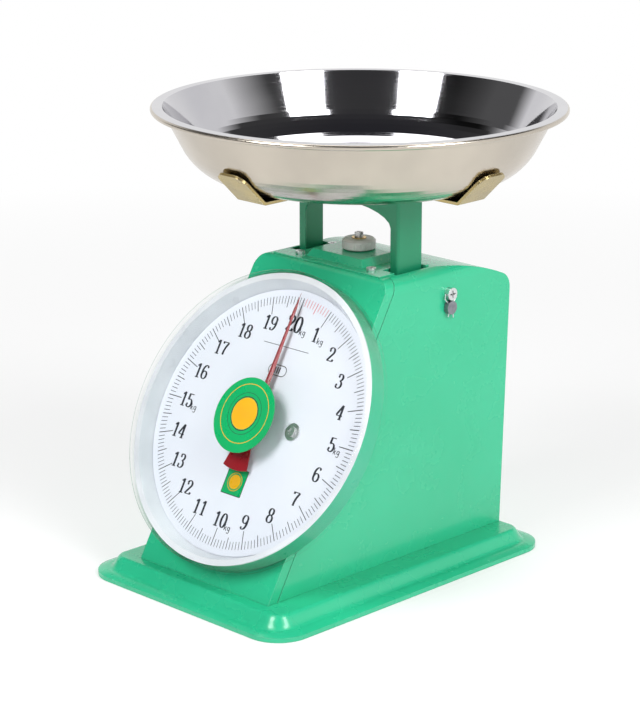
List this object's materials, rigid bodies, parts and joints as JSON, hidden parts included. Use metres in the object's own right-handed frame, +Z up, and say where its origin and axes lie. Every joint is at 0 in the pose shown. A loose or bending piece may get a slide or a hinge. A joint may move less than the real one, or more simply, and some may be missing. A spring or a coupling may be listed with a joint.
{
  "type": "dial spring scale",
  "caption": "Counter-top dial spring scale: sloping green sheet housing on a pressed foot, large round dial under a clear cover, and a stainless pan on a sprung frame.",
  "frame": {"origin": "on the ground, under the middle of the whole scale's bounding box; the foot's middle is at y -22.25 mm and the pan's centre at y +15.25 mm", "axes": "+Z up, the dial faces -Y, +X is the reader's right when facing the dial"},
  "size_m": [0.28, 0.3104, 0.3134],
  "materials": {
    "green_enamel": "gloss",
    "white_enamel": "satin",
    "red_paint": "satin",
    "zinc_gold": "satin",
    "zinc_steel": "satin",
    "spring_steel": "satin",
    "stainless": "polished",
    "knob_plastic": "satin",
    "brass": "satin",
    "lead": "matte",
    "clear_plastic": "clear",
    "sticker": "satin",
    "nylon": "satin",
    "rubber": "matte"
  },
  "bodies": {
    "housing": {"base_pan": "green_enamel", "front_panel": "green_enamel", "body_cover": "green_enamel", "top_plate": "green_enamel", "top_plate_screws": "zinc_steel", "chassis_frame": "zinc_steel", "chassis_screws": "zinc_steel", "cover_screws": "zinc_steel", "seal_screw": "zinc_steel", "seal_wire": "zinc_steel", "seal_slug": "lead", "dial_dish": "white_enamel", "dial_plate": "white_enamel", "dial_washers": "zinc_steel", "dial_screws": "zinc_steel", "dial_lens": "clear_plastic", "lens_sticker": "sticker", "movement_bracket": "zinc_steel", "movement_screws": "zinc_steel", "front_bush": "brass", "rear_bush": "brass", "rack_guide": "nylon", "spring_left": "spring_steel", "spring_right": "spring_steel", "upper_lever_shaft": "zinc_steel", "lower_lever_shaft": "zinc_steel", "shaft_clips": "spring_steel", "stop_buffers": "rubber"},
    "zero_nut": {"zero_knob": "knob_plastic", "knob_insert": "brass"},
    "hanger": {"hanger_stud": "zinc_steel", "hanger_bar": "zinc_steel"},
    "load": {"load_frame": "green_enamel", "yoke_bar": "zinc_steel", "yoke_rivets": "zinc_steel", "rack_arm": "zinc_steel", "rack_arm_screws": "zinc_steel", "lever_studs": "zinc_steel", "pan_spider": "zinc_gold", "spider_screws": "zinc_steel"},
    "weighing_pan": {"pan": "stainless"},
    "rack_bar": {"rack": "brass", "rack_pin": "zinc_steel"},
    "pointer_arbor": {"arbor": "zinc_steel", "pinion": "brass", "pointer_hub": "brass", "pointer": "red_paint"},
    "upper_link": {"upper_lever": "zinc_steel"},
    "lower_link": {"lower_lever": "zinc_steel"}
  },
  "joints": [
    {"name": "load_slide", "type": "slide", "parent": "housing", "child": "load", "axis": [0, 0, -1], "range_m": [0, 0.01741], "stiffness_N_per_m": 11264, "springref_m": -0.00097, "deforming": ["spring_left", "spring_right"]},
    {"name": "pan_lift", "type": "slide", "parent": "load", "child": "weighing_pan", "axis": [0, 0, 1], "range_m": [0, 0.06]},
    {"name": "rack_slide", "type": "slide", "parent": "housing", "child": "rack_bar", "axis": [0, -0.5, -0.866], "range_m": [0, 0.02021]},
    {"name": "pointer_spin", "type": "hinge", "parent": "housing", "child": "pointer_arbor", "pos_m": [0, -0.07625, 0.10999], "axis": [0, 0.866, -0.5], "range_deg": [0, 360.49]},
    {"name": "upper_lever_swing", "type": "hinge", "parent": "housing", "child": "upper_link", "pos_m": [0, 0.08067, 0.17009], "axis": [1, 0, 0], "range_deg": [0, 15.21]},
    {"name": "lower_lever_swing", "type": "hinge", "parent": "housing", "child": "lower_link", "pos_m": [0, 0.08067, 0.11009], "axis": [1, 0, 0], "range_deg": [0, 15.21]},
    {"name": "zero_turn", "type": "hinge", "parent": "housing", "child": "zero_nut", "pos_m": [0, 0.01525, 0.218], "axis": [0, 0, 1], "range_deg": [-360.5, 360.5]},
    {"name": "hanger_slide", "type": "slide", "parent": "housing", "child": "hanger", "axis": [0, 0, 1], "range_m": [-0.001, 0.001]}
  ],
  "couplings": [
    {"joint": "rack_slide", "follows": "load_slide", "ratio": 1.1547},
    {"joint": "pointer_spin", "follows": "load_slide", "rad_per_m": 360.84},
    {"joint": "upper_lever_swing", "follows": "load_slide", "rad_per_m": 15.196},
    {"joint": "lower_lever_swing", "follows": "load_slide", "rad_per_m": 15.196},
    {"joint": "zero_turn", "follows": "hanger_slide", "rad_per_m": 6283.2}
  ]
}
